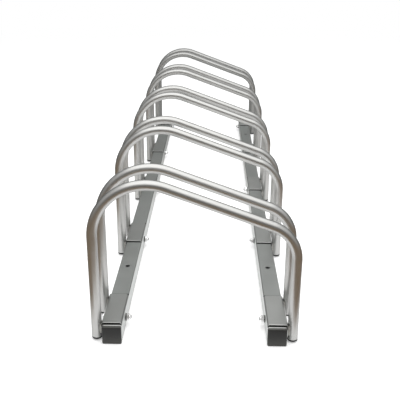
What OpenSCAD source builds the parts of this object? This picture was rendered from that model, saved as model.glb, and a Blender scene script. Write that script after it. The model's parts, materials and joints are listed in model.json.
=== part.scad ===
// Floor bike rack: pairs of bent tube hoops on angle brackets, bolted to two square rails.
// X runs across the rack, Y along the rails away from the near end, Z up from the floor.
// The origin is on the floor in the middle of the rack.

/* [Rack] */
// Number of wheel slots along the rack
slots = 5; // [2:1:6]
// Distance from one wheel slot to the next
slot_pitch = 305; // [220:5:420]
// Width over the outside of the hoop legs
rack_width = 320; // [260:5:420]
// Height of the hoops above the floor
rack_height = 262; // [240:2:340]

/* [Hoops] */
// Outer diameter of the hoop tube
tube_d = 16; // [13:0.5:20]
// Wall of the hoop tube
tube_wall = 1.2; // [0.8:0.1:2]
// Distance between the two hoops of a pair, centre to centre
hoop_gap = 77; // [60:1:84]
// Bend radius at the tall side, to the middle of the tube
tall_bend_r = 82; // [60:1:100]
// Bend radius at the short side, to the middle of the tube
short_bend_r = 56; // [40:1:70]
// Slope of the top of the hoop
top_slope = 20; // [12:1:24]

/* [Rails] */
// Side of the square rail
rail_side = 30; // [28:1:40]
// Wall of the rail
rail_wall = 1.5; // [1:0.1:2.4]
// Outer corner radius of the rail
rail_corner_r = 2.5; // [2.5:0.1:4]
// Diameter of the floor anchor holes
anchor_d = 8; // [5:0.5:12]

/* [Rail caps] */
// Thickness of the cap outside the rail
cap_flange = 5; // [3:0.5:6]
// How far the cap reaches into the rail
cap_reach = 22; // [12:1:30]
// Wall of the cap's hollow insert
cap_wall = 2; // [1.2:0.1:3]
// Bevel of the cap's outer edge
cap_edge = 1.5; // [0.4:0.1:2]
// Length of each grip rib round the insert
cap_rib = 2; // [1:0.1:3]

/* [Brackets] */
// Length of a bracket along the rail
bracket_length = 92; // [84:1:110]
// Thickness of the bracket's sheet
bracket_sheet = 2; // [1.5:0.1:3]
// Inner bend radius of the bracket
bracket_bend_r = 2; // [1:0.1:2.2]
// Height of the flange's lower edge above the floor
flange_clear = 7; // [4:0.5:8]
// Rounding of the flange's lower corners
flange_corner_r = 6; // [2:0.5:10]
// Distance from the plate's inner edge to the rail's inner side
plate_inset = 1; // [0:0.5:4]
// Rounding of the plate's inner corners
plate_corner_r = 4; // [1:0.5:10]
// Distance from the rack's end to the first bracket
end_overhang = 11; // [7:1:40]

/* [Leg plugs] */
// Height of the plugs above the floor: the rack stands on its rails
leg_clear = 2; // [0:0.5:6]
// Thickness of the plug below the tube
plug_flange = 2; // [1.5:0.5:4]
// How far the plug reaches into the tube
plug_reach = 14; // [8:1:25]
// Rounding of the plug's lower edge
plug_edge = 1.2; // [0.5:0.1:1.4]
// Height of each grip ring on the plug
plug_ring = 1.6; // [1:0.1:2]

/* [Fasteners] */
// Diameter of the bolt
bolt_d = 6; // [5:0.5:8]
// Clearance of the bolt in its holes, on the diameter
bolt_play = 0.6; // [0.4:0.1:1.5]
// Width across the flats of the bolt head and the nut
hex_flats = 10; // [10:0.5:13]
// Height of the bolt head
head_height = 4; // [3:0.5:5.5]
// Height of the hexagon of the lock nut
nut_height = 4.8; // [4:0.1:6.5]
// Height of the lock nut's collar
nut_collar = 1.6; // [1:0.1:2.5]
// Length of the bolt beyond the nut
bolt_end = 1.6; // [1:0.1:4]
// Outer diameter of the washer
washer_d = 12; // [11:0.5:15]
// Thickness of the washer
washer_thick = 1.6; // [1:0.1:2]

/* [Welds] */
// Radius of a weld bead's round face
weld_r = 2.2; // [1.8:0.1:2.6]
// Height of a weld bead up the leg
weld_height = 15; // [8:1:18]

/* [Hidden] */
// Fineness of round faces, and of the caps' faceted corners
$fn = 96;
hull_fn = 32;
// One overrun for every cut
cut = 0.5;
// Clearance between the rail's outer side and the bracket's flange
bracket_fit = 0.3;
// Clearance between an insert and the tube that it is pushed into, away from its ribs or rings
insert_fit = 0.4;
// How much slimmer each face of the tube's wall is in a bend, where bending has drawn it out
bend_draw = 0.05;
// How far a straight stretch of tube laps over the start of a bend
bend_lap = 0.5;
// Clearance between the bolt and the washer, and between the bolt and the nut
washer_fit = 0.2;
thread_fit = 0.1;

// Rails: a cap stands at each end of the overall length
rack_length = (slots - 1) * slot_pitch + bracket_length + 2 * end_overhang;
rail_length = rack_length - 2 * cap_flange;
rail_bore = rail_side - 2 * rail_wall;
rail_inner_r = rail_corner_r - rail_wall;

// Across the rack: the legs stand against the flanges of the brackets
leg_x = rack_width / 2 - tube_d / 2;
rail_x = leg_x - tube_d / 2 - bracket_sheet - bracket_fit - rail_side / 2;

// Across one bracket, from the middle of its rail, on the left side of the rack
flange_in = -rail_side / 2 - bracket_fit;
flange_out = flange_in - bracket_sheet;
plate_edge = rail_side / 2 - plate_inset;

// Up the brackets: the plate lies on the rail
bracket_top = rail_side + bracket_sheet;
bracket_outer_r = bracket_bend_r + bracket_sheet;
flange_straight = bracket_top - bracket_outer_r - flange_clear;

// Round the hoops, in the plane that one hoop is bent in
leg_low = leg_clear + plug_flange;
bend_d = tube_d - 2 * bend_draw;
tall_centre = [-leg_x + tall_bend_r, rack_height - bend_d / 2 - tall_bend_r];
top_end = 90 - top_slope;
slope_from = tall_centre + tall_bend_r * [cos(top_end), sin(top_end)];
slope_width = leg_x - short_bend_r + short_bend_r * cos(top_end) - slope_from[0];
slope_length = slope_width / cos(top_slope);
slope_lap = bend_lap * [cos(top_slope), -sin(top_slope)];
short_centre = [leg_x - short_bend_r, slope_from[1] - slope_width * tan(top_slope) - short_bend_r * sin(top_end)];

// Leg plugs: the rings grip the bore of the tube
tube_bore = tube_d - 2 * tube_wall;
plug_body = tube_bore - insert_fit;

// Fasteners: the bolt runs through the flange, the rail and the washer
bolt_z = rail_side / 2;
bolt_hole_d = bolt_d + bolt_play;
washer_from = rail_side / 2 - flange_out;
bolt_length = washer_from + washer_thick + nut_height + nut_collar + bolt_end;
bolt_point = bolt_d / 8;
hex_corner_r = hex_flats / 2 / cos(30);
hex_face_share = 0.95;
hex_face_r = hex_flats / 2 * hex_face_share;
hex_bevel = (hex_corner_r - hex_face_r) * tan(30);
collar_edge = nut_collar / 3;

// Weld beads fill the wedge between a leg and its flange, from the bend of the bracket down
weld_turn = 40;
weld_y = tube_d / 2 * sin(weld_turn);
weld_x = weld_r / 2;
weld_z = bracket_top - bracket_outer_r - weld_height;

// Places along the rack
slot_y = [for (i = [0 : slots - 1]) (i - (slots - 1) / 2) * slot_pitch];
anchor_y = [-1, 1] * (slots / 2 - 1) * slot_pitch;

ORDER = ["first", "second", "third", "fourth", "fifth", "sixth"];
SIDES = ["left", "right"];
ENDS = ["near", "far"];

// The right side is the mirror image of the left side, and the far end that of the near end

module on_side(s) {
    mirror([s == "right" ? 1 : 0, 0, 0]) children();
}

module at_end(e) {
    mirror([0, e == "far" ? 1 : 0, 0]) children();
}

// A profile of X and Z, drawn out along Y to both sides of the origin
module along_y(length) {
    translate([0, length / 2, 0]) rotate([90, 0, 0]) linear_extrude(length) children();
}

// A profile of Y and Z, drawn out along X from the origin
module along_x(length) {
    rotate([90, 0, 90]) linear_extrude(length) children();
}

// A solid turned about Z, laid down so that its axis runs along X
module lying() {
    rotate([0, 90, 0]) children();
}

module rounded_square(side, r) {
    square([side - 2 * r, side], center = true);
    square([side, side - 2 * r], center = true);
    for (x = [-1, 1], y = [-1, 1]) translate([x, y] * (side / 2 - r)) circle(r);
}

// Rails: hollow square section, drilled across for the bolts and down for the floor anchors
module rail() {
    color("#979b98") translate([-rail_x, 0, 0]) difference() {
        translate([0, 0, rail_side / 2]) along_y(rail_length) difference() {
            rounded_square(rail_side, rail_corner_r);
            rounded_square(rail_bore, rail_inner_r);
        }
        for (y = slot_y)
            translate([-rail_side / 2 - cut, y, bolt_z]) lying()
                cylinder(d = bolt_hole_d, h = rail_side + 2 * cut);
        for (y = anchor_y)
            translate([0, y, -cut]) cylinder(d = anchor_d, h = rail_side + 2 * cut);
    }
}

// Rail caps: a bevelled square plate with a hollow insert, whose ribs grip the bore of the rail
module rail_cap() {
    insert = rail_bore - insert_fit;
    hollow = insert - 2 * cap_wall;
    ribs = floor(cap_reach / (3 * cap_rib));
    color("#3b3b39") translate([-rail_x, -rail_length / 2, rail_side / 2]) {
        hull() {
            cap_plate(rail_side, rail_corner_r, cap_flange - cap_edge);
            cap_plate(rail_side - 2 * cap_edge, rail_corner_r - cap_edge, cap_flange);
        }
        translate([0, cap_reach / 2, 0]) along_y(cap_reach) difference() {
            rounded_square(insert, rail_inner_r);
            square(hollow, center = true);
        }
        for (i = [1 : ribs])
            translate([0, i * cap_reach / (ribs + 1), 0]) along_y(cap_rib) difference() {
                rounded_square(rail_bore, rail_inner_r);
                square(hollow, center = true);
            }
    }
}

// A square plate of the cap that reaches from the rail's end towards the near end
module cap_plate(side, r, thick) {
    translate([0, -thick / 2, 0]) along_y(thick) rounded_square(side, r, $fn = hull_fn);
}

// Brackets: one folded sheet, a plate on the rail's top and a flange down its outer side
module bracket() {
    color("#8f9390") translate([-rail_x, 0, 0]) difference() {
        along_y(bracket_length) difference() {
            folded(flange_out, plate_edge, flange_clear, bracket_top, bracket_outer_r);
            folded(flange_in, plate_edge + cut, flange_clear - cut, rail_side, bracket_bend_r);
        }
        for (end = [0, 1]) mirror([0, end, 0]) {
            flange_corner();
            plate_corner();
        }
        translate([flange_out - cut, 0, bolt_z]) lying()
            cylinder(d = bolt_hole_d, h = bracket_sheet + 2 * cut);
    }
}

// A block of X and Z whose upper corner on the left is rounded
module folded(left, right, low, high, r) {
    translate([left, low]) square([right - left, high - r - low]);
    translate([left + r, low]) square([right - left - r, high - low]);
    translate([left + r, high - r]) circle(r);
}

// What is cut from one lower corner of the flange
module flange_corner() {
    r = min(flange_corner_r, flange_straight);
    translate([flange_out - cut, bracket_length / 2, flange_clear])
        along_x(bracket_sheet + 2 * cut) mirror([0, 1]) corner(r);
}

// What is cut from one inner corner of the plate
module plate_corner() {
    translate([plate_edge, bracket_length / 2, rail_side - cut])
        linear_extrude(bracket_sheet + 2 * cut) corner(plate_corner_r);
}

// What rounds off the corner at the origin of a plate that lies below it and to its left
module corner(r) {
    difference() {
        translate([-r, -r]) square([r + cut, r + cut]);
        translate([-r, -r]) circle(r);
    }
}

// Hoops: one tube, bent twice in its own plane
module hoop() {
    color("#b9bab6") rotate([90, 0, 0]) {
        straight([-leg_x, leg_low], 90, tall_centre[1] - leg_low + bend_lap);
        bend(tall_centre, tall_bend_r, top_end, 180 - top_end);
        straight(slope_from - slope_lap, -top_slope, slope_length + 2 * bend_lap);
        bend(short_centre, short_bend_r, 0, top_end);
        straight([leg_x, leg_low], 90, short_centre[1] - leg_low + bend_lap);
    }
}

module straight(from, angle, length) {
    translate(from) rotate([0, 0, angle]) lying() linear_extrude(length) difference() {
        circle(d = tube_d);
        circle(d = tube_bore);
    }
}

module bend(centre, r, from, sweep) {
    translate(centre) rotate_extrude(angle = sweep, start = from) translate([r, 0]) difference() {
        circle(d = bend_d);
        circle(d = tube_bore + 2 * bend_draw);
    }
}

// Leg plugs: a foot as wide as the tube, and a ringed stem inside it
module leg_plug() {
    foot_r = tube_d / 2;
    rings = floor(plug_reach / (3 * plug_ring));
    color("#2e2e2d") rotate_extrude() {
        square([foot_r - plug_edge, plug_flange]);
        translate([0, plug_edge]) square([foot_r, plug_flange - plug_edge]);
        translate([foot_r - plug_edge, plug_edge]) circle(plug_edge);
        translate([0, plug_flange]) square([plug_body / 2, plug_reach]);
        for (i = [1 : rings])
            translate([0, plug_flange + i * plug_reach / (rings + 1) - plug_ring / 2])
                square([tube_bore / 2, plug_ring]);
    }
}

// Welds: two beads up each leg, one on either side of the line where it meets the flange
module leg_welds() {
    color("#a8a9a5") for (side = [0, 1])
        mirror([0, side, 0]) translate([-leg_x + tube_d / 2, 0, weld_z]) linear_extrude(weld_height)
            difference() {
                translate([-weld_x, weld_y]) circle(weld_r);
                translate([-tube_d / 2, 0]) circle(d = tube_d);
                translate([0, weld_y - weld_r - cut]) square([weld_r, 2 * weld_r + 2 * cut]);
            }
}

// Places one child at each of the four legs of a slot
module at_legs() {
    for (s = SIDES, e = ENDS)
        on_side(s) at_end(e) translate([0, -hoop_gap / 2, 0]) children();
}

// Fasteners, each drawn along Z from the face that it bears on

module hexagon(height, low_bevel) {
    intersection() {
        cylinder(r = hex_corner_r, h = height, $fn = 6);
        rotate_extrude() polygon([
            [0, 0],
            [low_bevel ? hex_face_r : hex_corner_r, 0],
            [hex_corner_r, low_bevel ? hex_bevel : 0],
            [hex_corner_r, height - hex_bevel],
            [hex_face_r, height],
            [0, height]
        ]);
    }
}

module bolt() {
    color("#cfd0cd") {
        mirror([0, 0, 1]) hexagon(head_height, false);
        cylinder(d = bolt_d, h = bolt_length - bolt_point);
        translate([0, 0, bolt_length - bolt_point])
            cylinder(d1 = bolt_d, d2 = bolt_d - 2 * bolt_point, h = bolt_point);
    }
}

module washer() {
    color("#d4d5d2") linear_extrude(washer_thick) difference() {
        circle(d = washer_d);
        circle(d = bolt_d + 2 * washer_fit);
    }
}

module nut() {
    color("#dcdddb") difference() {
        union() {
            hexagon(nut_height, true);
            cylinder(r = hex_face_r, h = nut_height + nut_collar - collar_edge);
            translate([0, 0, nut_height + nut_collar - collar_edge])
                cylinder(r1 = hex_face_r, r2 = hex_face_r - collar_edge, h = collar_edge);
        }
        translate([0, 0, -cut]) cylinder(d = bolt_d + 2 * thread_fit, h = nut_height + nut_collar + 2 * cut);
    }
}

// Places one child on every bolt line of one rail, at a distance in from the outside of the flange
module on_bolt_lines(inward) {
    for (y = slot_y)
        translate([-rail_x + flange_out + inward, y, bolt_z]) lying() children();
}

for (s = SIDES) {
    on_side(s) rail();
    on_side(s) on_bolt_lines(0) bolt();
    on_side(s) on_bolt_lines(washer_from) washer();
    on_side(s) on_bolt_lines(washer_from + washer_thick) nut();
    for (e = ENDS)
        on_side(s) at_end(e) rail_cap();
}

for (i = [0 : slots - 1]) translate([0, slot_y[i], 0]) {
    for (s = SIDES)
        on_side(s) bracket();
    for (e = ENDS)
        at_end(e) translate([0, -hoop_gap / 2, 0]) hoop();
    at_legs() translate([-leg_x, 0, leg_clear]) leg_plug();
    at_legs() leg_welds();
}
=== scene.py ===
import json
import math
import bmesh
import bpy
from mathutils import Matrix, Vector


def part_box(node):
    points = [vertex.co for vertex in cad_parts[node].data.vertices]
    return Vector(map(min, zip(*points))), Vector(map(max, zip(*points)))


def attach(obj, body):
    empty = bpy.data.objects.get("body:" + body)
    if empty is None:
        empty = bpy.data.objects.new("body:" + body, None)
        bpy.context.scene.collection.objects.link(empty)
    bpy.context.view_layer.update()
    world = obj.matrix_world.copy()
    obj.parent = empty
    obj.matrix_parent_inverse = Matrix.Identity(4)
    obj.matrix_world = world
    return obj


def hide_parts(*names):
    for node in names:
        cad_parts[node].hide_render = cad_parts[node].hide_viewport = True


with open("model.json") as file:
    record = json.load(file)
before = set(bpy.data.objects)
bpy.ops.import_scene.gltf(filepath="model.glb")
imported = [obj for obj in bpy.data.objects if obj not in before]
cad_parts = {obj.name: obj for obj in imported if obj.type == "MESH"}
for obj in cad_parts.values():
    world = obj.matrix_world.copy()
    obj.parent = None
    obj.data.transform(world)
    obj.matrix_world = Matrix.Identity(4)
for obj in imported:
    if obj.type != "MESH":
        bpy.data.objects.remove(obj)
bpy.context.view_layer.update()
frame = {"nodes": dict(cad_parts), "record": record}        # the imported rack: its rails, brackets, hoops, plugs, welds and fasteners

# All lengths are in metres, in the rack's own frame: X across, Y along the rails, Z up from the floor.
MM = 0.001
SLOTS = ("first", "second", "third", "fourth", "fifth")
SIDES = {"left": -1, "right": 1}
ENDS = {"near": -1, "far": 1}


def size_of(node):
    """The width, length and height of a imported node, and its middle."""
    low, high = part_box(node)
    return high - low, (low + high) / 2


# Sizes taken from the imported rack

RAIL_SIZE, RAIL_MIDDLE = size_of("left_rail")
RAIL = RAIL_SIZE.z
RAIL_X = -RAIL_MIDDLE.x
HOOP_SIZE, HOOP_MIDDLE = size_of("first_near_hoop")
TUBE_R = HOOP_SIZE.y / 2
LEG_X = HOOP_SIZE.x / 2 - TUBE_R
LEG_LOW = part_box("first_near_hoop")[0].z
HOOP_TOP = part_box("first_near_hoop")[1].z
BRACKET_SIZE, BRACKET_MIDDLE = size_of("first_left_bracket")
BRACKET_LOW, BRACKET_TOP = (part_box("first_left_bracket")[i].z for i in (0, 1))
FLANGE_X = LEG_X - TUBE_R
PLATE_EDGE_X = -BRACKET_MIDDLE.x - BRACKET_SIZE.x / 2
SLOT_Y = {slot: size_of(slot + "_left_bracket")[1].y for slot in SLOTS}
SLOT_PITCH = SLOT_Y["second"] - SLOT_Y["first"]
HOOP_OUT = SLOT_Y["first"] - HOOP_MIDDLE.y
WELD_SIZE, WELD_MIDDLE = size_of("first_welds")

# Sizes of the parts' own shapes, as the construction has them

TALL_BEND_R = 82 * MM
SHORT_BEND_R = 56 * MM
TOP_SLOPE = math.radians(20)
TUBE_WALL = 1.2 * MM
RAIL_WALL = 1.5 * MM
SHEET = 2 * MM
SHEET_BEND_R = 2 * MM
FLANGE_CORNER_R = 6 * MM
PLATE_CORNER_R = 4 * MM
CAP_FLANGE = 5 * MM
CAP_REACH = 22 * MM
HEX_FLATS = 10 * MM
HEAD_HEIGHT = 4 * MM
NUT_HEIGHT = 4.8 * MM
NUT_COLLAR = 1.6 * MM
NUT_RING_R = 3.7 * MM
BOLT_R = 3 * MM
BOLT_END = 1.6 * MM
THREAD_PITCH = 1 * MM
THREAD_DEPTH = 0.55 * MM
WASHER_R = 6 * MM
WASHER_THICK = 1.6 * MM
WELD_R = 2.2 * MM
WELD_TURN = math.radians(40)


# Node maths: expressions on sockets build the materials


class Socket:
    """An output socket whose sums and products add the nodes that work them out."""

    def __init__(self, maker, socket):
        self.maker = maker
        self.socket = socket

    def worked_out(self, operation, first, second=None):
        values = {0: first} if second is None else {0: first, 1: second}
        return self.maker.node("ShaderNodeMath", {"operation": operation}, values)

    def __add__(self, other):
        return self.worked_out("ADD", self, other)

    __radd__ = __add__

    def __sub__(self, other):
        return self.worked_out("SUBTRACT", self, other)

    def __rsub__(self, other):
        return self.worked_out("SUBTRACT", other, self)

    def __mul__(self, other):
        return self.worked_out("MULTIPLY", self, other)

    __rmul__ = __mul__

    def size(self):
        """The value without its sign."""
        return self.worked_out("ABSOLUTE", self)

    def clamped(self):
        """The value kept between 0 and 1."""
        return self.maker.node("ShaderNodeClamp", {}, {"Value": self})

    def smooth(self, low, high):
        """0 up to low, 1 from high, with a soft step between."""
        return self.maker.node("ShaderNodeMapRange", {"interpolation_type": "SMOOTHSTEP"},
                               {"Value": self, "From Min": low, "From Max": high})

    def part(self, name):
        """Another output of the same node."""
        return Socket(self.maker, self.socket.node.outputs[name])


# The Mix node's two colours, as sockets by number: their names are those of other sockets too
COLOUR_A, COLOUR_B = 6, 7


class Nodes:
    """Adds nodes to one tree."""

    def __init__(self, tree):
        self.tree = tree
        tree.nodes.clear()

    def node(self, kind, settings=None, values=None):
        """Adds a node with its settings, then the values or links of its sockets, and gives its first output."""
        new = self.tree.nodes.new(kind)
        for name, value in (settings or {}).items():
            if name == "stops":
                self.set_stops(new.color_ramp, value)
            else:
                setattr(new, name, value)
        for name, value in (values or {}).items():
            if isinstance(value, Socket):
                self.tree.links.new(value.socket, new.inputs[name])
            else:
                new.inputs[name].default_value = value
        outputs = [output for output in new.outputs if output.enabled]
        return Socket(self, outputs[0]) if outputs else new

    @staticmethod
    def set_stops(ramp, stops):
        while len(ramp.elements) < len(stops):
            ramp.elements.new(1)
        for element, (place, colour) in zip(ramp.elements, stops):
            element.position = place
            element.color = (*colour, 1)

    def mixed(self, factor, first, second):
        """A colour between two colours."""
        return self.node("ShaderNodeMix", {"data_type": "RGBA"},
                         {"Factor": factor, COLOUR_A: first, COLOUR_B: second})

    def place(self):
        """Where a point of the surface lies, in metres in the rack's frame."""
        return self.node("ShaderNodeTexCoord").part("Object")

    def along(self, axis):
        """How far out a point lies along one axis, in metres."""
        return self.node("ShaderNodeSeparateXYZ", {}, {"Vector": self.place()}).part(axis)

    def from_slot(self):
        """How far beyond the middle of its slot a point lies, in metres."""
        return self.node("ShaderNodeMath", {"operation": "WRAP"},
                         {0: self.along("Y"), 1: SLOT_PITCH / 2, 2: -SLOT_PITCH / 2})

    def facing(self, axis):
        """How far the surface faces along one axis, from -1 to 1."""
        normal = self.node("ShaderNodeNewGeometry").part("Normal")
        return self.node("ShaderNodeSeparateXYZ", {}, {"Vector": normal}).part(axis)

    def noise(self, grain, detail=2, roughness=0.5):
        """Soft noise from 0 to 1 whose spots are about one grain wide."""
        return self.node("ShaderNodeTexNoise", {},
                         {"Vector": self.place(), "Scale": 1 / grain, "Detail": detail, "Roughness": roughness})

    def bumps(self, height, depth, strength=1, under=None):
        """The surface's normal with bumps of a depth in metres, on top of other bumps."""
        values = {"Height": height, "Distance": depth, "Strength": strength}
        if under:
            values["Normal"] = under
        return self.node("ShaderNodeBump", {}, values)


def colour(red, green, blue):
    """A colour as it looks on screen, from 0 to 255, in the shader's linear values."""
    def linear(value):
        share = value / 255
        return share / 12.92 if share <= 0.04045 else ((share + 0.055) / 1.055) ** 2.4
    return (linear(red), linear(green), linear(blue), 1)


def material(name, build):
    """A material whose surface is what build makes in its node tree."""
    new = bpy.data.materials.new(name)
    new.use_nodes = True
    nodes = Nodes(new.node_tree)
    surface = build(nodes)
    nodes.node("ShaderNodeOutputMaterial", {}, {"Surface": surface})
    return new


# Finishes

# Powder coat: its clouds and its patches of dust in millimetres, its flakes and its orange peel, and their depths
CLOUD_MM, DUST_MM = 35, 9
FLAKE, PEEL = 0.35 * MM, 1.1 * MM
FLAKE_DEPTH, PEEL_DEPTH = 0.004 * MM, 0.02 * MM
DUST_DULLS = 0.08
# Where a coat differs, mostly by painted shade and painted highlights. Each pair says where that begins and where it
# is full.
RIGHT_X = (-20 * MM, 20 * MM)
FAR_HOOPS_Y, FAR_HOOPS_SHADE = (0, 0.75), 0.2
FOOT_SHADE_Z = (LEG_LOW + 1.5 * MM, LEG_LOW + 0.9 * MM)
FOLD_Z = (BRACKET_TOP - 10 * MM, BRACKET_TOP - 7 * MM)
FLANGE_WITHIN_X = (FLANGE_X - 0.8 * MM, FLANGE_X - 1.4 * MM)
PLATE_INNER_X = (RAIL_X, RAIL_X - 1 * MM)
BRINK_X, BRINK_SHADE_SHARE = (PLATE_EDGE_X + 1.6 * MM, PLATE_EDGE_X + 0.8 * MM), 0.45
BRACKET_PALER_SHARE, RAIL_PALER_SHARE = 0.18, 0.08
RAIL_RIM_Y = (RAIL_SIZE.y / 2 - 2.9 * MM, RAIL_SIZE.y / 2 - 1.9 * MM)
RAIL_CORNER_SHADE = 0.5
# Painted shadow on a rail's top against each end of a bracket, and its share
CONTACT_SHADE_FROM, CONTACT_SHADE_TO, CONTACT_SHADE_SHARE = (-0.5 * MM, 0), (4 * MM, 2.8 * MM), 0.95
# Moulded plastic and zinc: the grains of the blasted mould, its clouds and rubbed spots, and of the bloom and lines
BLAST, PLASTIC_CLOUD, RUBBED = 0.4 * MM, 12 * MM, 3 * MM
BLAST_DEPTH = 0.03 * MM
BLOOM, DRAWN = 2.5 * MM, 0.25 * MM
DRAWN_DEPTH = 0.006 * MM
# Painted shade on the zinc: its shares on the washers, the thread roots and the ring in each nut's collar, and the
# width of its soft edge
WASHER_SHADE, ROOT_SHADE, RING_SHADE = 0.9, 0.5, 0.8
SHADE_EDGE = 0.1 * MM


def silver_paint(pale, dark, roughness, metallic, wider, touched=None, edge_tint=1.0):
    """Powder coat with metal flake: cloudy colour, fine sparkle and a slight orange peel. Its clouds and dust are some
    millimetres wider on some pieces, so that no two coats match. Where it differs on a piece, touched changes it."""
    def build(nodes):
        cloud = nodes.noise((CLOUD_MM + wider) * MM, 3)
        flake = nodes.noise(FLAKE, 1)
        peel = nodes.noise(PEEL, 2)
        dust = nodes.noise((DUST_MM + wider) * MM, 5, 0.65).smooth(0.55, 0.8)
        shade = (cloud * 0.75 + flake * 0.25).clamped()
        paint = nodes.mixed(shade, dark, pale)
        if touched:
            paint = touched(nodes, paint)
        peeled = nodes.bumps(peel, PEEL_DEPTH)
        return nodes.node("ShaderNodeBsdfPrincipled", {}, {
            "Base Color": paint,
            "Metallic": metallic - dust * DUST_DULLS,
            "Roughness": roughness + cloud * 0.06 + flake * 0.05 + dust * DUST_DULLS,
            "Specular IOR Level": 0.5,
            "Specular Tint": (edge_tint, edge_tint, edge_tint, 1),
            "Normal": nodes.bumps(flake, FLAKE_DEPTH, 1, peeled),
        })
    return build


def painted_light_on_right(nodes, paint, share):
    """Painted light: the pieces on the right are painted slightly paler, as if more light fell on them."""
    # painted light: a paler colour towards the right-hand side
    return nodes.mixed(nodes.along("X").smooth(*RIGHT_X) * share, paint, colour(235, 236, 234))


def shade_feet_and_far_hoops(nodes, paint):
    """Painted shade: the lowest part of each leg is painted dark, for the shade round its plug, and the far hoops are
    painted a little darker.
    """
    # painted shade: darker towards the far hoops, then a dark band at the foot of each leg
    paint = nodes.mixed(nodes.along("Y").smooth(*FAR_HOOPS_Y) * FAR_HOOPS_SHADE, paint, colour(60, 62, 61))
    return nodes.mixed(nodes.along("Z").smooth(*FOOT_SHADE_Z), paint, colour(26, 26, 25))


def shade_cut_edges(nodes, paint):
    """Painted shade: a bracket's cut edges, the plate's inner edge and the top beside it are painted dark, for the
    shadowed gap between the sheet and the rail. Below the fold, the outer half of the flange's ends stays bright."""
    across = nodes.along("X").size()
    fold = nodes.along("Z").smooth(*FOLD_Z)
    # painted shade on the cut edges and the inner half of the flange's ends, for the shadowed gap under the sheet
    ends = nodes.facing("Y").size().smooth(0.8, 0.95) * (fold + across.smooth(*FLANGE_WITHIN_X))
    inner = nodes.facing("X").size().smooth(0.7, 0.9) * across.smooth(*PLATE_INNER_X)
    # painted shade on the plate's top beside its inner edge
    brink = nodes.facing("Z").smooth(0.5, 0.9) * across.smooth(*BRINK_X)
    cut_edge_shade = (ends + inner + brink * BRINK_SHADE_SHARE).clamped()
    return nodes.mixed(cut_edge_shade, painted_light_on_right(nodes, paint, BRACKET_PALER_SHARE), colour(30, 29, 28))


def shade_and_highlight_rail(nodes, paint):
    """Painted shade on a rail's rounded upper corners and on its top against the ends of each bracket, and a painted
    highlight on the edges of the sawn ends, brightest above."""
    up = nodes.facing("Z")
    above = up.smooth(0.3, 0.9)
    rim = nodes.along("Y").size().smooth(*RAIL_RIM_Y)
    paint = painted_light_on_right(nodes, paint, RAIL_PALER_SHARE)
    # painted highlight on the edges of the sawn ends, brightest on top
    rim_highlight = nodes.mixed(rim * (above * 0.8 + 0.2), paint, colour(240, 241, 239))
    # painted shade along the rounded upper corners, and painted shadow on the top against each bracket end
    corner = up.smooth(0.95, 0.85) * up.smooth(0.45, 0.6)
    beyond = nodes.from_slot().size() - BRACKET_SIZE.y / 2
    painted_shade = beyond.smooth(*CONTACT_SHADE_FROM) * beyond.smooth(*CONTACT_SHADE_TO) * above
    return nodes.mixed((corner * RAIL_CORNER_SHADE + painted_shade * CONTACT_SHADE_SHARE).clamped(), rim_highlight, colour(28, 28, 27))


def moulded_plastic(pale, dark, roughness, painted_sheen=None):
    """Black plastic from a finely blasted mould, a little greyer where it has been handled. A painted sheen, if given,
    makes it paler towards the floor and on upward faces.
    """
    def build(nodes):
        blast = nodes.noise(BLAST, 2)
        cloud = nodes.noise(PLASTIC_CLOUD, 4, 0.6)
        rub = nodes.noise(RUBBED, 5, 0.7).smooth(0.52, 0.75)
        plastic = nodes.mixed((cloud * 0.6 + rub * 0.4).clamped(), dark, pale)
        if painted_sheen:
            # painted light: paler towards the floor and on faces that look up
            low = nodes.along("Z").smooth(RAIL, 0)
            above = nodes.facing("Z").smooth(0.2, 0.9)
            plastic = nodes.mixed((low * low * 0.7 + above).clamped(), plastic, painted_sheen)
        return nodes.node("ShaderNodeBsdfPrincipled", {}, {
            "Base Color": plastic,
            "Specular IOR Level": 0.3,
            "Roughness": roughness + rub * 0.12 - cloud * 0.06,
            "Normal": nodes.bumps(blast, BLAST_DEPTH, 0.8),
        })
    return build


def zinc_plate(pale, dark, painted_shade):
    """Bright zinc on turned and pressed steel: fine drawn lines and a slight bloom. Painted shade darkens the washers,
    the roots of the threads and the ring inside each nut's collar."""
    def build(nodes):
        bloom = nodes.noise(BLOOM, 4, 0.6)
        drawn = nodes.noise(DRAWN, 2)
        across = nodes.along("X").size()
        washer_face = RAIL_X - RAIL / 2 - WASHER_THICK
        washer = across.smooth(washer_face - SHADE_EDGE, washer_face) * across.smooth(RAIL_X, RAIL_X - RAIL / 2)
        axis = nodes.node("ShaderNodeCombineXYZ", {}, {"Y": nodes.from_slot(), "Z": nodes.along("Z") - RAIL / 2})
        radius = nodes.node("ShaderNodeVectorMath", {"operation": "LENGTH"}, {0: axis}).part("Value")
        roots = radius.smooth(BOLT_R, BOLT_R - THREAD_DEPTH)
        ring = radius.smooth(BOLT_R, BOLT_R + SHADE_EDGE) * radius.smooth(NUT_RING_R + 2 * SHADE_EDGE, NUT_RING_R)
        # painted shade on the washers, in the thread roots and in the ring inside each nut's collar
        shade_mask = (washer * WASHER_SHADE + roots * ROOT_SHADE + ring * RING_SHADE).clamped()
        return nodes.node("ShaderNodeBsdfPrincipled", {}, {
            "Base Color": nodes.mixed(shade_mask, nodes.mixed(bloom, dark, pale), painted_shade),
            "Metallic": 0.75,
            "Roughness": 0.12 + bloom * 0.1 + drawn * 0.05,
            "Normal": nodes.bumps(drawn, DRAWN_DEPTH),
        })
    return build


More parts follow.
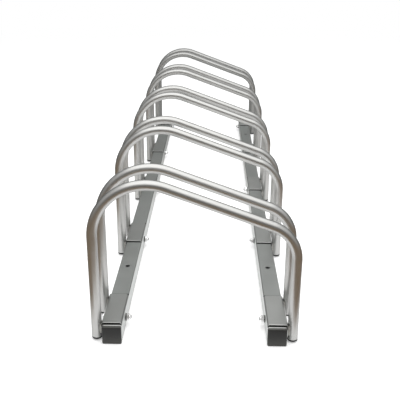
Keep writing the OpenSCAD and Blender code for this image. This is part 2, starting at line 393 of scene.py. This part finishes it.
HOOP_PAINT = material("hoop_silver", silver_paint(colour(187, 187, 186), colour(173, 173, 171), 0.26, 0.93, 0,
                                                 shade_feet_and_far_hoops, edge_tint=0.45))
RAIL_PAINT = material("rail_silver", silver_paint(colour(181, 184, 182), colour(166, 169, 167), 0.3, 0.88, 6,
                                                 shade_and_highlight_rail))
BRACKET_PAINT = material("bracket_silver", silver_paint(colour(182, 183, 182), colour(167, 169, 166), 0.3, 0.88, 12,
                                                       shade_cut_edges))
WELD_PAINT = material("weld_silver", silver_paint(colour(184, 184, 180), colour(153, 151, 146), 0.31, 0.88, 3))
# the caps' last colour is a painted sheen, paler towards the floor and on upward faces
CAP_PLASTIC = material("cap_black", moulded_plastic(colour(32, 32, 31), colour(24, 24, 23), 0.34, colour(72, 72, 70)))
PLUG_PLASTIC = material("plug_black", moulded_plastic(colour(18, 18, 18), colour(12, 12, 12), 0.55))
ZINC = material("bright_zinc", zinc_plate(colour(252, 252, 251), colour(240, 241, 242), colour(74, 73, 71)))

FINISHES = {
    "hoop_paint": HOOP_PAINT,
    "rail_paint": RAIL_PAINT,
    "bracket_paint": BRACKET_PAINT,
    "weld_paint": WELD_PAINT,
    "cap_plastic": CAP_PLASTIC,
    "plug_plastic": PLUG_PLASTIC,
    "zinc": ZINC,
}
NODE_SLOT = {part["node"]: part["material_slot"] for part in frame["record"]["subparts"]}


# Making pieces

SMOOTH_ANGLE = math.radians(32)
MERGE_DISTANCE = 0.001 * MM


def piece(name, mesh_maker, node):
    """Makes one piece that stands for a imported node, in that node's finish."""
    work = bmesh.new()
    mesh_maker(work)
    bmesh.ops.remove_doubles(work, verts=work.verts, dist=MERGE_DISTANCE)
    bmesh.ops.recalc_face_normals(work, faces=work.faces)
    mesh = bpy.data.meshes.new(name)
    work.to_mesh(mesh)
    work.free()
    mesh.materials.append(FINISHES[NODE_SLOT[node]])
    mesh.shade_smooth()
    mesh.set_sharp_from_angle(angle=SMOOTH_ANGLE)
    new = bpy.data.objects.new(name, mesh)
    bpy.context.scene.collection.objects.link(new)
    flat = new.modifiers.new("flat faces", "WEIGHTED_NORMAL")
    flat.keep_sharp = True
    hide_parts(node)
    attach(new, "root")
    return new


def skin(work, rings, closed=True, cap_start=False, cap_end=False, loop=False):
    """Joins rings of points, each with as many points as the next, with four-sided faces."""
    rows = [[work.verts.new(point) for point in ring] for ring in rings]
    count = len(rows[0])
    steps = count if closed else count - 1
    pairs = list(zip(rows, rows[1:])) + ([(rows[-1], rows[0])] if loop else [])
    for one, two in pairs:
        for i in range(steps):
            j = (i + 1) % count
            work.faces.new((one[i], one[j], two[j], two[i]))
    if cap_start:
        work.faces.new(reversed(rows[0]))
    if cap_end:
        work.faces.new(rows[-1])
    return rows


# Hoops: one tube, bent twice in its own plane

TUBE_SIDES = 40
BEND_STEP = math.radians(3)
BEND_FLATTEN_SHARE = 0.015
BEND_EASE = 0.5
STRAIGHT_RINGS = 6
OPEN_END_DEPTH = 6 * MM


def hoop_line():
    """The hoop's centreline: for each ring, X and Z, the angle that the tube heads in, and how far it is bent."""
    line = []

    def run(start, end, heading):
        for i in range(STRAIGHT_RINGS + 1):
            at = start.lerp(end, i / STRAIGHT_RINGS)
            line.append((at.x, at.y, heading, 0))

    def arc(centre, radius, start, sweep):
        steps = math.ceil(sweep / BEND_STEP)
        for i in range(1, steps):
            turn = start - sweep * i / steps
            bent = math.sin(math.pi * i / steps) ** BEND_EASE
            line.append((centre.x + radius * math.cos(turn), centre.y + radius * math.sin(turn),
                         turn - math.pi / 2, bent))

    tall = Vector((-LEG_X + TALL_BEND_R, HOOP_TOP - TUBE_R - TALL_BEND_R))
    top_end = math.pi / 2 - TOP_SLOPE
    outward = Vector((math.cos(top_end), math.sin(top_end)))
    slope_from = tall + TALL_BEND_R * outward
    short_x = LEG_X - SHORT_BEND_R
    slope_width = short_x + SHORT_BEND_R * outward.x - slope_from.x
    slope_to = slope_from + Vector((slope_width, -slope_width * math.tan(TOP_SLOPE)))
    short = slope_to - SHORT_BEND_R * outward
    run(Vector((-LEG_X, LEG_LOW)), Vector((-LEG_X, tall.y)), math.pi / 2)
    arc(tall, TALL_BEND_R, math.pi, math.pi - top_end)
    run(slope_from, slope_to, -TOP_SLOPE)
    arc(short, SHORT_BEND_R, top_end, top_end)
    run(Vector((LEG_X, short.y)), Vector((LEG_X, LEG_LOW)), -math.pi / 2)
    return line


def hoop_mesh(y):
    """A hoop at one place along the rack, with the wall of the tube showing at its open ends."""
    def ring(x, z, heading, bent, radius):
        points = []
        for i in range(TUBE_SIDES):
            turn = 2 * math.pi * i / TUBE_SIDES
            across = radius * (1 - BEND_FLATTEN_SHARE * bent) * math.cos(turn)
            aside = radius * (1 + BEND_FLATTEN_SHARE * bent / 2) * math.sin(turn)
            points.append((x - across * math.sin(heading), y + aside, z + across * math.cos(heading)))
        return points

    def make(work):
        line = hoop_line()
        bore = TUBE_R - TUBE_WALL
        first, last = line[0], line[-1]
        rings = [ring(first[0], first[1] + OPEN_END_DEPTH, first[2], 0, bore), ring(*first[:3], 0, bore)]
        rings += [ring(*at, TUBE_R) for at in line]
        rings += [ring(*last[:3], 0, bore), ring(last[0], last[1] + OPEN_END_DEPTH, last[2], 0, bore)]
        skin(work, rings, cap_start=True, cap_end=True)
    return make


# Brackets: a folded sheet, with a plate on the rail's top and a flange down its outer side

BRACKET_BEND_STEPS = 6
CORNER_STEPS = 10
SHEET_ROLL = 1.0 * MM
SHEET_BURR = 0.25 * MM
ROLL_STEPS = 4


def sheet_slice(long, thick):
    """Points round the sheet across its fold: how far along the rail, and how far out from its inner face. Its outer
    edges are rolled over, as a press leaves them. The sheet is only so thick close to the ends of its fold."""
    half = [(long - SHEET_BURR, 0), (long, SHEET_BURR)]
    for i in range(ROLL_STEPS + 1):
        turn = math.pi / 2 * i / ROLL_STEPS
        half.append((long - SHEET_ROLL * (1 - math.cos(turn)),
                     min(SHEET - SHEET_ROLL * (1 - math.sin(turn)), thick)))
    return half + [(-along, out) for along, out in reversed(half)]


def bracket_mesh(side, y):
    """One bracket on the rail of that side."""
    flange_in = FLANGE_X - RAIL_X - SHEET
    plate_end = flange_in + SHEET - BRACKET_SIZE.x
    bend_from = BRACKET_TOP - SHEET - SHEET_BEND_R
    bend_out = flange_in - SHEET_BEND_R

    def near_edge(distance, r):
        """How far the sheet reaches along the rail, and its thickness, at a distance from an end of its fold."""
        corner = r - min(distance, r)
        roll = SHEET_BURR - min(distance, SHEET_BURR)
        return (BRACKET_SIZE.y / 2 - r + math.sqrt(r * r - corner * corner),
                SHEET - SHEET_BURR + math.sqrt(SHEET_BURR ** 2 - roll ** 2))

    def fold():
        """Points of the fold: how far out from the rail's middle, how high, the way that the sheet's outer face
        faces, how far the sheet reaches along the rail, and its thickness."""
        rows = []
        for i in range(CORNER_STEPS + 1):
            rise = FLANGE_CORNER_R * (1 - math.cos(math.pi / 2 * i / CORNER_STEPS))
            rows.append((flange_in, BRACKET_LOW + rise, 0, *near_edge(rise, FLANGE_CORNER_R)))
        for i in range(BRACKET_BEND_STEPS + 1):
            turn = math.pi / 2 * i / BRACKET_BEND_STEPS
            rows.append((bend_out + SHEET_BEND_R * math.cos(turn), bend_from + SHEET_BEND_R * math.sin(turn), turn,
                         BRACKET_SIZE.y / 2, SHEET))
        for i in range(CORNER_STEPS, -1, -1):
            inset = PLATE_CORNER_R * (1 - math.cos(math.pi / 2 * i / CORNER_STEPS))
            rows.append((plate_end + inset, BRACKET_TOP - SHEET, math.pi / 2, *near_edge(inset, PLATE_CORNER_R)))
        return rows

    def make(work):
        rings = []
        for out, z, turn, long, thick in fold():
            rings.append([(side * (RAIL_X + out + deep * math.cos(turn)), y + along, z + deep * math.sin(turn))
                          for along, deep in sheet_slice(long, thick)])
        skin(work, rings, cap_start=True, cap_end=True)
    return make


# Rail caps: a softly domed square plate on a ribbed, hollow insert

CAP_ROUND = 1.7 * MM
CAP_DOME = 0.35 * MM
CAP_CORNER_R = 2.5 * MM
CAP_CORNER_STEPS = 8
CAP_GRIP = 0.2 * MM
CAP_EDGE, CAP_EDGE_INSET = 0.15 * MM, 0.1 * MM
CAP_ROUND_STEPS = 6
CAP_DOME_STEPS = 7
CAP_INSERT_WALL = 2 * MM
CAP_INSERT_R = 1 * MM
CAP_HOLLOW_R = 0.4 * MM
CAP_RIBS = 3
CAP_RIB_PROFILE = ((0, -1 * MM), (CAP_GRIP, -0.6 * MM), (CAP_GRIP, 0.6 * MM), (0, 1 * MM))
CAP_CORNER_LOSS = 0.6


def rounded_outline(half, r):
    """Points round a square with rounded corners, as X and Z."""
    points = []
    for corner in range(4):
        for i in range(CAP_CORNER_STEPS + 1):
            turn = math.pi / 2 * (corner + i / CAP_CORNER_STEPS)
            cx = (half - r) * (1 if corner in (0, 3) else -1)
            cz = (half - r) * (1 if corner in (0, 1) else -1)
            points.append((cx + r * math.cos(turn), cz + r * math.sin(turn)))
    return points


def cap_mesh(side, end):
    """The cap in one end of one rail."""
    rail_end = RAIL_SIZE.y / 2
    bore = RAIL / 2 - RAIL_WALL

    def ring(half, r, out):
        """A rounded square at a distance out from the rail's end."""
        return [(side * RAIL_X + x, end * (rail_end + out), RAIL / 2 + z) for x, z in rounded_outline(half, r)]

    def make(work):
        half = RAIL / 2
        insert = bore - CAP_GRIP
        hollow = insert - CAP_INSERT_WALL
        rings = [ring(hollow, CAP_HOLLOW_R, CAP_HOLLOW_R), ring(hollow, CAP_HOLLOW_R, -CAP_REACH)]
        rings.append(ring(insert, CAP_INSERT_R, -CAP_REACH))
        for i in range(CAP_RIBS, 0, -1):
            middle = -CAP_REACH * i / (CAP_RIBS + 1)
            rings += [ring(insert + high, CAP_INSERT_R, middle + out) for high, out in CAP_RIB_PROFILE]
        rings += [ring(insert, CAP_INSERT_R, 0), ring(half - CAP_EDGE_INSET, CAP_CORNER_R, 0),
                  ring(half, CAP_CORNER_R, CAP_EDGE)]
        flat = CAP_FLANGE - CAP_ROUND - CAP_DOME
        for i in range(CAP_ROUND_STEPS + 1):
            turn = math.pi / 2 * i / CAP_ROUND_STEPS
            inward = CAP_ROUND * (1 - math.cos(turn))
            rings.append(ring(half - inward, CAP_CORNER_R - inward * CAP_CORNER_LOSS,
                              flat + CAP_ROUND * math.sin(turn)))
        for i in range(1, CAP_DOME_STEPS):
            share = i / CAP_DOME_STEPS
            rings.append(ring((half - CAP_ROUND) * (1 - share),
                              (CAP_CORNER_R - CAP_ROUND * CAP_CORNER_LOSS) * (1 - share),
                              CAP_FLANGE - CAP_DOME * (1 - share) ** 2))
        skin(work, rings, cap_start=True, cap_end=True)
    return make


# Welds: beads up both sides of each leg, laid as a row of overlapping drops

WELD_DROP = 1.9 * MM
WELD_RINGS_PER_DROP = 5
WELD_ARC_STEPS = 10
WELD_RIPPLE_SHARE, WELD_RIPPLE_EASE = 0.13, 0.6
WELD_SINK = 0.35 * MM
WELD_FACE_END = math.radians(118)
WELD_END_SHARE = 0.62
WELD_WANDER_SHARE = 0.05
WELD_WANDER_ALONG, WELD_WANDER_PLACE = 7.1, 40
WELD_LEAN = 0.27


def weld_section(radius):
    """The bead's face across the wedge, as how far out from the flange and how far along it from the leg's middle.
    The last point is in the corner behind the bead, inside the leg and the flange."""
    centre_out = WELD_R / 2
    centre_along = TUBE_R * math.sin(WELD_TURN)
    on_flange = math.asin(min(centre_out / radius, 1))
    points = []
    for i in range(WELD_ARC_STEPS + 1):
        turn = -on_flange + (WELD_FACE_END + on_flange) * i / WELD_ARC_STEPS
        points.append((centre_out + radius * math.sin(turn), centre_along + radius * math.cos(turn)))
    points.append((centre_out * 1.5, centre_along - WELD_R))
    points.append((-WELD_SINK, centre_along - WELD_R))
    points.append((-WELD_SINK, centre_along))
    return points


def welds_mesh(slot):
    """The eight beads of one slot's four legs."""
    height = WELD_SIZE.z
    low = WELD_MIDDLE.z - height / 2
    drops = round(height / WELD_DROP)
    count = drops * WELD_RINGS_PER_DROP

    def bead(work, side, leg_y, way):
        rings = []
        for i in range(count + 1):
            share = i / count
            drop = (share * drops) % 1 if i < count else 0
            swell = math.sin(math.pi * drop) ** WELD_RIPPLE_EASE if 0 < drop < 1 else 0
            taper = min(1, WELD_END_SHARE + (1 - WELD_END_SHARE) * min(share, 1 - share) * drops)
            place = WELD_WANDER_ALONG * share + WELD_WANDER_PLACE * leg_y + side + way
            wander = 1 + WELD_WANDER_SHARE * math.sin(place)
            radius = WELD_R * taper * wander * (1 - WELD_RIPPLE_SHARE * (1 - swell))
            z = low + height * share
            rings.append([(side * (FLANGE_X + out), leg_y + way * along, z - WELD_LEAN * WELD_DROP * out / WELD_R)
                          for out, along in weld_section(radius)])
        skin(work, rings, cap_start=True, cap_end=True)

    def make(work):
        for side in SIDES.values():
            for end in ENDS.values():
                for way in (-1, 1):
                    bead(work, side, SLOT_Y[slot] + end * HOOP_OUT, way)
    return make


# Fasteners, drawn along an axis from the face that they bear on

HEX_STEPS = 10
HEX_FACE_SHARE = 0.95
HEX_BEVEL_SLOPE = math.tan(math.radians(30))
ROUND_SIDES = 6 * HEX_STEPS
HEAD_FACE_R = 4 * MM
HEAD_RECESS_R = 3.7 * MM
HEAD_RECESS = 0.12 * MM
HEAD_SPIN, HEAD_SPIN_SIDE = 0.37, 0.2
NUT_SPIN, NUT_SPIN_SIDE = 0.31, 0.5
NUT_STEP_SHARE, NUT_COLLAR_SHARE, NUT_LIP_SHARE = 0.97, 0.95, 0.72
NUT_LIP_DEPTH, NUT_BORE_DEPTH = 0.25 * MM, 0.3 * MM
NUT_COLLAR_ROUND = 0.8 * MM
NUT_COLLAR_STEPS = 4
WASHER_CLEAR = 0.2 * MM
WASHER_EDGE = 0.2 * MM
BOLT_POINT = 0.7 * MM
THREAD_LENGTH = 14 * MM
THREAD_FLANK = 1.3
THREAD_RINGS_PER_TURN = 8
THREAD_SIDES = 30


class Turned:
    """Rings of points round an axis along X: at a start point, towards or away from the rack's middle."""

    def __init__(self, x, y, z, way, spin=0):
        self.start, self.way, self.spin = Vector((x, y, z)), way, spin

    def point(self, along, radius, turn):
        turn += self.spin
        return self.start + Vector((self.way * along, radius * math.cos(turn), radius * math.sin(turn)))

    def ring(self, along, radius, sides=ROUND_SIDES):
        """A ring of points: along and radius are numbers, or functions of the turn."""
        points = []
        for i in range(sides):
            turn = 2 * math.pi * i / sides
            out = radius(turn) if callable(radius) else radius
            at = along(turn) if callable(along) else along
            points.append(self.point(at, out, turn))
        return points


def hex_radius(turn):
    """How far a hexagon's side is from its middle in one direction."""
    sixth = math.pi / 3
    return HEX_FLATS / 2 / math.cos((turn + sixth / 2) % sixth - sixth / 2)


def hex_rings(turned, height, low_bevel):
    """Rings of a hexagon whose corners are turned off by a cone, at its high face or at both faces."""
    face = HEX_FLATS / 2 * HEX_FACE_SHARE

    def bevel(turn):
        return (hex_radius(turn) - face) * HEX_BEVEL_SLOPE

    rings = []
    if low_bevel:
        rings += [turned.ring(0, face), turned.ring(bevel, hex_radius)]
    else:
        rings += [turned.ring(0, hex_radius)]
    rings += [turned.ring(lambda turn: height - bevel(turn), hex_radius), turned.ring(height, face)]
    return rings


def bolts_mesh(side):
    """The five bolts of one rail: hexagon heads outside, and threaded ends inside."""
    x = side * FLANGE_X
    length = FLANGE_X - RAIL_X + RAIL / 2 + WASHER_THICK + NUT_HEIGHT + NUT_COLLAR + BOLT_END

    def thread_radius(along, turn, fade):
        phase = (along / THREAD_PITCH - turn / (2 * math.pi)) % 1
        ridge = 1 - abs(2 * phase - 1)
        return BOLT_R - THREAD_DEPTH * fade * (1 - min(1, ridge * THREAD_FLANK))

    def bolt(work, y, spin):
        head = Turned(x, y, RAIL / 2, side, spin)
        recess = [head.ring(HEAD_HEIGHT, HEAD_FACE_R), head.ring(HEAD_HEIGHT - HEAD_RECESS, HEAD_RECESS_R)]
        skin(work, [head.ring(0, BOLT_R)] + hex_rings(head, HEAD_HEIGHT, False) + recess, cap_start=True, cap_end=True)
        shank = Turned(x, y, RAIL / 2, -side)
        plain = length - THREAD_LENGTH
        rings = [shank.ring(0, BOLT_R, THREAD_SIDES), shank.ring(plain, BOLT_R, THREAD_SIDES)]
        count = round(THREAD_LENGTH / THREAD_PITCH * THREAD_RINGS_PER_TURN)
        for i in range(1, count + 1):
            along = plain + THREAD_LENGTH * i / count
            fade = min(1, (along - plain) / THREAD_PITCH)
            point = max(0, BOLT_POINT - (length - along))
            rings.append(shank.ring(along, lambda turn: min(thread_radius(along, turn, fade), BOLT_R - point),
                                    THREAD_SIDES))
        skin(work, rings, cap_start=True, cap_end=True)

    def make(work):
        for number, y in enumerate(SLOT_Y.values()):
            bolt(work, y, HEAD_SPIN * number + HEAD_SPIN_SIDE * side)
    return make


def nuts_mesh(side):
    """The five lock nuts of one rail, each with a domed collar round a nylon ring."""
    x = side * (RAIL_X - RAIL / 2 - WASHER_THICK)
    high = NUT_HEIGHT + NUT_COLLAR
    face = HEX_FLATS / 2 * HEX_FACE_SHARE
    collar = face * NUT_COLLAR_SHARE

    def nut(work, y, spin):
        turned = Turned(x, y, RAIL / 2, -side, spin)
        rings = [turned.ring(0, BOLT_R)] + hex_rings(turned, NUT_HEIGHT, True)
        rings.append(turned.ring(NUT_HEIGHT, face * NUT_STEP_SHARE))
        for i in range(NUT_COLLAR_STEPS + 1):
            turn = math.pi / 2 * i / NUT_COLLAR_STEPS
            rings.append(turned.ring(high - NUT_COLLAR_ROUND * (1 - math.sin(turn)),
                                     collar - NUT_COLLAR_ROUND * (1 - math.cos(turn))))
        rings += [turned.ring(high - NUT_LIP_DEPTH, face * NUT_LIP_SHARE),
                  turned.ring(high - NUT_BORE_DEPTH, BOLT_R)]
        skin(work, rings, loop=True)

    def make(work):
        for number, y in enumerate(SLOT_Y.values()):
            nut(work, y, NUT_SPIN * number + NUT_SPIN_SIDE * side)
    return make


def washers_mesh(side):
    """The five washers of one rail, with slightly rounded rims."""
    x = side * (RAIL_X - RAIL / 2)
    hole, rim = BOLT_R + WASHER_CLEAR, WASHER_R - WASHER_EDGE
    profile = ((0, hole), (0, rim), (WASHER_EDGE, WASHER_R),
               (WASHER_THICK - WASHER_EDGE, WASHER_R), (WASHER_THICK, rim), (WASHER_THICK, hole))

    def make(work):
        for y in SLOT_Y.values():
            turned = Turned(x, y, RAIL / 2, -side)
            skin(work, [turned.ring(along, radius) for along, radius in profile], loop=True)
    return make


# The rack

for slot in SLOTS:
    for end_name, end in ENDS.items():
        node = f"{slot}_{end_name}_hoop"
        piece(node + "_tube", hoop_mesh(SLOT_Y[slot] + end * HOOP_OUT), node)
    for side_name, side in SIDES.items():
        node = f"{slot}_{side_name}_bracket"
        piece(node + "_sheet", bracket_mesh(side, SLOT_Y[slot]), node)
    piece(slot + "_weld_beads", welds_mesh(slot), slot + "_welds")
for side_name, side in SIDES.items():
    for end_name, end in ENDS.items():
        node = f"{side_name}_rail_{end_name}_cap"
        piece(node + "_moulding", cap_mesh(side, end), node)
    piece(side_name + "_hex_bolts", bolts_mesh(side), side_name + "_bolts")
    piece(side_name + "_lock_nuts", nuts_mesh(side), side_name + "_nuts")
    piece(side_name + "_flat_washers", washers_mesh(side), side_name + "_washers")
for name, node in frame["nodes"].items():
    node.data.materials.clear()
    node.data.materials.append(FINISHES[NODE_SLOT[name]])


# The camera, fitted to the photograph: its focal length is in pixels of a picture 400 pixels wide

PICTURE_PX = 400
SENSOR_WIDTH = 36
FOCAL_PX = 671.1
CAMERA_AT = Vector((23.98, -1549.8, 575.5)) * MM
YAW, PITCH, ROLL = (math.radians(angle) for angle in (-1.051, 20.844, 0.269))


def photograph_camera():
    """The camera, set by its matrix, and made the scene's own."""
    ahead = Vector((math.sin(YAW) * math.cos(PITCH), math.cos(YAW) * math.cos(PITCH), -math.sin(PITCH)))
    level = Vector((math.cos(YAW), -math.sin(YAW), 0))
    above = level.cross(ahead)
    right = level * math.cos(ROLL) + above * math.sin(ROLL)
    up = above * math.cos(ROLL) - level * math.sin(ROLL)
    data = bpy.data.cameras.new("camera")
    data.sensor_width = SENSOR_WIDTH
    data.lens = data.sensor_width * FOCAL_PX / PICTURE_PX
    camera = bpy.data.objects.new("camera", data)
    turn = Matrix((right, up, -ahead)).transposed().to_4x4()
    camera.matrix_world = Matrix.Translation(CAMERA_AT) @ turn
    bpy.context.scene.collection.objects.link(camera)
    bpy.context.scene.camera = camera


# The studio: a white floor under a soft lamp. The metal mirrors the rest of it, which the camera doesn't see: a tent
# that is bright above and grey at eye level, a softbox low over the near end, a dark screen behind the camera, and
# dark ground round the white paper that the rack stands on.

FLOOR_SIZE = 60.0
FLOOR_WHITE = (0.92, 0.92, 0.92, 1)
FLOOR_GLOW = 0.28
FLOOR_FADE = (1.8, 3.4)
FLOOR_GRAIN, FLOOR_GRAIN_SHADE = 4 * MM, 0.98
GROUND_SIZE = 24.0
GROUND_HEIGHT = 0.2 * MM
GROUND_DARK = (0.222, 0.155, 0.092, 1)
GROUND_FAR = (0.148, 0.155, 0.148, 1)
# Edges of the white paper: on it, the first times X and the second times Y add up to more than the third
PAPER_EDGES = {
    "left": (1, 0.35, -0.485),
    "right": (-1, 0.35, -0.53),
    "near": (-0.26, 1, -0.80),
    "near_right_corner": (-0.77, 1, -0.852),
    "far": (0, -1, -1.2),
}
PAPER_FADE = 0.05
# The paper darkens in the metal towards the far end, by a share, between two places along Y
PAPER_SHADE = 0.6
PAPER_SHADE_FROM, PAPER_SHADE_TO = -0.4, 0.7
TENT_R = 10.0
TENT_SIDES = 32
TENT_RINGS = 10
TENT_SKIRT = 0.1
TENT_TO_RIGHT, TENT_RIGHT_FADE = 0.15, 0.3
TENT_BACK_FADE = 0.25
TENT_FRONT = [
    (0.00, (0.40, 0.395, 0.385)),
    (0.17, (0.43, 0.425, 0.415)),
    (0.34, (0.55, 0.547, 0.54)),
    (0.50, (0.78, 0.78, 0.77)),
    (0.77, (1.10, 1.10, 1.10)),
    (1.00, (1.30, 1.30, 1.30)),
]
TENT_BACK = [
    (0.00, (0.17, 0.181, 0.174)),
    (0.33, (0.20, 0.211, 0.203)),
    (0.39, (0.30, 0.312, 0.303)),
    (0.44, (0.46, 0.47, 0.462)),
    (0.50, (0.56, 0.565, 0.56)),
    (0.60, (0.55, 0.552, 0.55)),
    (0.77, (0.64, 0.64, 0.64)),
    (0.90, (0.90, 0.90, 0.90)),
    (1.00, (1.30, 1.30, 1.30)),
]
# Cards that glow or are dark: the middle, half of the width and of the length or height, and the depth of soft edges
SOFTBOX_AT = Vector((0, -0.7, 1.25))
SOFTBOX_HALF = (1.1, 1.2)
SOFTBOX_FADE = 0.45
SOFTBOX_GLOW = (2.12, 2.12, 2.1, 1)
SCREEN_AT = Vector((0, -1.65, 0.3))
SCREEN_HALF = (1.0, 0.5)
SCREEN_FADE = 0.2
SCREEN_DARK = (0.165, 0.155, 0.145, 1)
LAMP_WIDTH, LAMP_LENGTH = 2.2, 2.6
LAMP_HEIGHT = 2.4
LAMP_Y = -0.35
LAMP_POWER = 35


def stage_piece(name, rings, finish, closed=False, mirrored_only=True):
    """A piece of the studio, which isn't part of the rack. What is mirrored only shows nowhere but in the metal."""
    work = bmesh.new()
    skin(work, rings, closed=closed)
    mesh = bpy.data.meshes.new(name)
    work.to_mesh(mesh)
    work.free()
    mesh.materials.append(material(name, finish))
    new = bpy.data.objects.new(name, mesh)
    bpy.context.scene.collection.objects.link(new)
    if mirrored_only:
        new.visible_camera = False
    return new


def card_corners(at, half, upright=False):
    """Two rows of corners of a card that lies flat or stands across the rack."""
    aside, along = Vector((half[0], 0, 0)), Vector((0, 0, half[1]) if upright else (0, half[1], 0))
    return [[at - aside - along, at + aside - along], [at - aside + along, at + aside + along]]


def square(size, z):
    """The corners of a level square in the middle of the studio."""
    return card_corners(Vector((0, 0, z)), (size / 2, size / 2))


def white_floor(nodes):
    """White paper that keeps the rack's shadow and fades to plain white far from it."""
    grain_shade = tuple(FLOOR_GRAIN_SHADE * value for value in FLOOR_WHITE)
    paper = nodes.mixed(nodes.noise(FLOOR_GRAIN, 3), FLOOR_WHITE, grain_shade)
    lit = nodes.node("ShaderNodeBsdfDiffuse", {}, {"Color": paper})
    glow = nodes.node("ShaderNodeEmission", {}, {"Strength": FLOOR_GLOW})
    near = nodes.node("ShaderNodeAddShader", {}, {0: lit, 1: glow})
    far = nodes.node("ShaderNodeEmission", {}, {"Strength": 1.0})
    distance = nodes.node("ShaderNodeVectorMath", {"operation": "LENGTH"}, {0: nodes.place()}).part("Value")
    return nodes.node("ShaderNodeMixShader", {}, {0: distance.smooth(*FLOOR_FADE), 1: near, 2: far})


def dark_ground(nodes):
    """Ground that is brownish near the camera, with an opening the shape of the white paper."""
    place = nodes.node("ShaderNodeSeparateXYZ", {}, {"Vector": nodes.place()})
    far = place.part("Y").smooth(PAPER_SHADE_FROM, PAPER_SHADE_TO)
    inside = 1 - far * PAPER_SHADE
    for along_x, along_y, edge in PAPER_EDGES.values():
        across = place.part("X") * along_x + place.part("Y") * along_y
        inside = across.smooth(edge - PAPER_FADE, edge + PAPER_FADE) * inside
    ground = nodes.node("ShaderNodeBsdfDiffuse", {}, {"Color": nodes.mixed(far, GROUND_DARK, GROUND_FAR)})
    opening = nodes.node("ShaderNodeBsdfTransparent", {}, {})
    return nodes.node("ShaderNodeMixShader", {}, {0: inside, 1: ground, 2: opening})


def soft_card(at, half, fade, glow, upright):
    """A card that glows, clear at its edges. It lies flat or stands across the rack."""
    def build(nodes):
        high = "Z" if upright else "Y"
        middle = at.z if upright else at.y
        width = (nodes.along("X") - at.x).size().smooth(half[0], half[0] - fade)
        length = (nodes.along(high) - middle).size().smooth(half[1], half[1] - fade)
        light = nodes.node("ShaderNodeEmission", {}, {"Color": glow, "Strength": 1.0})
        clear = nodes.node("ShaderNodeBsdfTransparent", {}, {})
        return nodes.node("ShaderNodeMixShader", {}, {0: width * length, 1: clear, 2: light})
    return build


def tent_cloth(nodes):
    """Glowing cloth, brighter with its height and to the right, and dimmer on the camera's side."""
    way = nodes.node("ShaderNodeVectorMath", {"operation": "NORMALIZE"}, {0: nodes.place()})
    way = nodes.node("ShaderNodeSeparateXYZ", {}, {"Vector": way})
    front = nodes.node("ShaderNodeValToRGB", {"stops": TENT_FRONT}, {"Fac": way.part("Z")})
    back = nodes.node("ShaderNodeValToRGB", {"stops": TENT_BACK}, {"Fac": way.part("Z")})
    cloth = nodes.mixed(way.part("Y").smooth(-TENT_BACK_FADE, TENT_BACK_FADE), front, back)
    to_right = way.part("X").smooth(-TENT_RIGHT_FADE, TENT_RIGHT_FADE)
    strength = to_right * (2 * TENT_TO_RIGHT) + (1 - TENT_TO_RIGHT)
    return nodes.node("ShaderNodeEmission", {}, {"Color": cloth, "Strength": strength})


def studio_stage():
    """The floor, the ground, both cards and the tent."""
    stage_piece("white_floor", square(FLOOR_SIZE, 0), white_floor, mirrored_only=False)
    cards = [
        stage_piece("dark_ground", square(GROUND_SIZE, GROUND_HEIGHT), dark_ground),
        stage_piece("softbox_front", card_corners(SOFTBOX_AT, SOFTBOX_HALF),
                    soft_card(SOFTBOX_AT, SOFTBOX_HALF, SOFTBOX_FADE, SOFTBOX_GLOW, False)),
        stage_piece("dark_screen", card_corners(SCREEN_AT, SCREEN_HALF, True),
                    soft_card(SCREEN_AT, SCREEN_HALF, SCREEN_FADE, SCREEN_DARK, True)),
    ]
    for card in cards:
        card.visible_diffuse = False
        card.visible_shadow = False
    turns = [2 * math.pi * i / TENT_SIDES for i in range(TENT_SIDES)]
    rings = []
    for i in range(TENT_RINGS):
        rise = math.pi / 2 * i / TENT_RINGS
        wide, high = TENT_R * math.cos(rise), TENT_R * math.sin(rise)
        rings.append([(wide * math.cos(turn), wide * math.sin(turn), high) for turn in turns])
    skirt = [(x, y, -TENT_SKIRT) for x, y, z in rings[0]]
    crown = [(0, 0, TENT_R)] * TENT_SIDES
    stage_piece("tent", [skirt, *rings, crown], tent_cloth, closed=True)


def white_world():
    """Plain white beyond the tent, for the camera."""
    world = bpy.data.worlds.new("studio")
    bpy.context.scene.world = world
    world.use_nodes = True
    nodes = Nodes(world.node_tree)
    white = nodes.node("ShaderNodeBackground", {}, {"Color": (1, 1, 1, 1), "Strength": 1.0})
    nodes.node("ShaderNodeOutputWorld", {}, {"Surface": white})


def overhead_lamp():
    """The soft lamp that lights the rack and the floor, and isn't mirrored."""
    light = bpy.data.lights.new("softbox", "AREA")
    light.shape = "RECTANGLE"
    light.size, light.size_y = LAMP_WIDTH, LAMP_LENGTH
    light.energy = LAMP_POWER
    lamp = bpy.data.objects.new("softbox", light)
    lamp.location = (0, LAMP_Y, LAMP_HEIGHT)
    lamp.visible_glossy = False
    bpy.context.scene.collection.objects.link(lamp)


photograph_camera()
studio_stage()
white_world()
overhead_lamp()
bpy.context.scene.view_settings.view_transform = "Standard"
